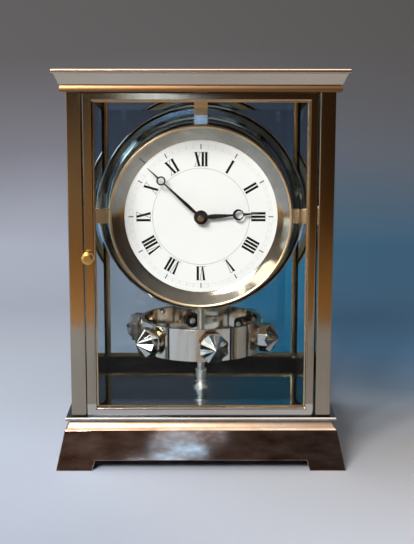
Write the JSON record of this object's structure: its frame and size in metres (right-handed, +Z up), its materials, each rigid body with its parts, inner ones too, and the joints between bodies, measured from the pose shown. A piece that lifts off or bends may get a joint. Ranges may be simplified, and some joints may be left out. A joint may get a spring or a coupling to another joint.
{
  "type": "torsion pendulum clock",
  "caption": "Table clock in a glazed metal case with a hinged door, round Roman dial, rocking winding drum and slow torsion pendulum with faceted weights.",
  "frame": {"origin": "middle of the rectangle that the feet stand in, on the table", "axes": "+Z up, -Y out of the dial towards the viewer, +X to the viewer's right"},
  "size_m": [0.1722, 0.1442, 0.235],
  "materials": {
    "nickel_brass": "nickel-plated brass, polished, worn warm",
    "dark_nickel": "dark nickel plate, mirror polished",
    "gilded_brass": "gilded brass, satin to polished",
    "polished_steel": "polished nickel and steel",
    "black_hands": "black lacquered steel",
    "dial_white": "warm white enamel paint, satin",
    "clear_glass": "clear bevelled glass"
  },
  "bodies": {
    "case": {"corner_post_front_left": "nickel_brass", "corner_post_front_right": "nickel_brass", "corner_post_back_left": "nickel_brass", "corner_post_back_right": "nickel_brass", "cornice": "nickel_brass", "right_frame": "nickel_brass", "back_frame": "nickel_brass", "left_frame": "nickel_brass", "base_plinth": "dark_nickel", "floor_plate": "dark_nickel", "movement_carrier": "dark_nickel", "carrier_pillar_left": "dark_nickel", "carrier_pillar_right": "dark_nickel", "bridge_pillar_left": "dark_nickel", "bridge_pillar_right": "dark_nickel", "rear_bridge": "dark_nickel", "hinge_pin_lower": "gilded_brass", "hinge_pin_upper": "gilded_brass", "front_plate": "gilded_brass", "rear_plate": "gilded_brass", "bezel": "gilded_brass", "suspension_bracket": "gilded_brass", "suspension_tube": "gilded_brass", "suspension_clamp": "polished_steel", "suspension_wire": "polished_steel", "lock_guide": "polished_steel", "dial": "dial_white", "right_glass": "clear_glass", "back_glass": "clear_glass", "left_glass": "clear_glass"},
    "door": {"door_frame": "nickel_brass", "door_glass": "clear_glass"},
    "latch": {"door_latch": "gilded_brass"},
    "minute_arbor": {"centre_wheel": "gilded_brass", "cannon_pinion": "polished_steel", "minute_hand": "black_hands", "hand_nut": "gilded_brass"},
    "barrel": {"mainspring_barrel": "gilded_brass"},
    "escape": {"escape_wheel": "gilded_brass"},
    "motion_wheel": {"minute_wheel": "gilded_brass"},
    "hour_pipe": {"hour_wheel": "gilded_brass", "hour_hand": "black_hands"},
    "lever": {"pallet_lever": "polished_steel"},
    "drum": {"drum_front_shell": "dark_nickel", "drum_back_shell": "dark_nickel", "drum_arbor": "polished_steel", "expansion_tube": "clear_glass"},
    "pendulum": {"pendulum_arbor": "polished_steel", "impulse_roller": "polished_steel", "pendulum_ring": "polished_steel", "pendulum_spokes": "polished_steel", "pendulum_weight_1": "polished_steel", "pendulum_weight_2": "polished_steel", "pendulum_weight_3": "polished_steel", "pendulum_weight_4": "polished_steel", "pendulum_weight_5": "polished_steel", "pendulum_weight_6": "polished_steel"},
    "lock_cup": {"lock_cup": "polished_steel"},
    "lock_lever": {"lock_lever": "dark_nickel"}
  },
  "joints": [
    {"name": "door_hinge", "type": "hinge", "parent": "case", "child": "door", "pos_m": [0.0652, -0.0605, 0.1265], "axis": [0, 0, 1], "range_deg": [0, 95]},
    {"name": "latch_turn", "type": "hinge", "parent": "door", "child": "latch", "pos_m": [-0.0655, -0.0605, 0.127], "axis": [0, 1, 0], "range_deg": [-90, 0]},
    {"name": "minute_hand_turn", "type": "hinge", "parent": "case", "child": "minute_arbor", "pos_m": [0, -0.015, 0.1457], "axis": [0, 1, 0], "continuous": true},
    {"name": "barrel_turn", "type": "hinge", "parent": "case", "child": "barrel", "pos_m": [0, -0.009, 0.1673], "axis": [0, 1, 0], "continuous": true},
    {"name": "escape_turn", "type": "hinge", "parent": "case", "child": "escape", "pos_m": [0, -0.009, 0.1307], "axis": [0, 1, 0], "continuous": true},
    {"name": "motion_wheel_turn", "type": "hinge", "parent": "case", "child": "motion_wheel", "pos_m": [0.012, -0.0186, 0.1457], "axis": [0, 1, 0], "continuous": true},
    {"name": "hour_hand_turn", "type": "hinge", "parent": "case", "child": "hour_pipe", "pos_m": [0, -0.02, 0.1457], "axis": [0, 1, 0], "continuous": true},
    {"name": "lever_swing", "type": "hinge", "parent": "case", "child": "lever", "pos_m": [0, -0.009, 0.1192], "axis": [0, 1, 0], "range_deg": [-5, 5]},
    {"name": "drum_rock", "type": "hinge", "parent": "case", "child": "drum", "pos_m": [0, 0.03, 0.1457], "axis": [0, 1, 0], "range_deg": [-20, 20]},
    {"name": "pendulum_swing", "type": "hinge", "parent": "case", "child": "pendulum", "pos_m": [0, 0, 0.0682], "axis": [0, 0, 1], "range_deg": [-270, 270], "stiffness_Nm_per_rad": 0.000009},
    {"name": "lock_lever_turn", "type": "hinge", "parent": "case", "child": "lock_lever", "pos_m": [0.02, 0, 0.017], "axis": [0, 0, 1], "range_deg": [0, 12]},
    {"name": "lock_cup_lift", "type": "slide", "parent": "case", "child": "lock_cup", "axis": [0, 0, 1], "range_m": [0, 0.0025]}
  ],
  "couplings": [
    {"joint": "barrel_turn", "follows": "minute_hand_turn", "ratio": -0.2},
    {"joint": "escape_turn", "follows": "minute_hand_turn", "ratio": -4},
    {"joint": "motion_wheel_turn", "follows": "minute_hand_turn", "ratio": -0.33333},
    {"joint": "hour_hand_turn", "follows": "minute_hand_turn", "ratio": 0.083333},
    {"joint": "lock_cup_lift", "follows": "lock_lever_turn", "m_per_rad": 0.011936}
  ]
}
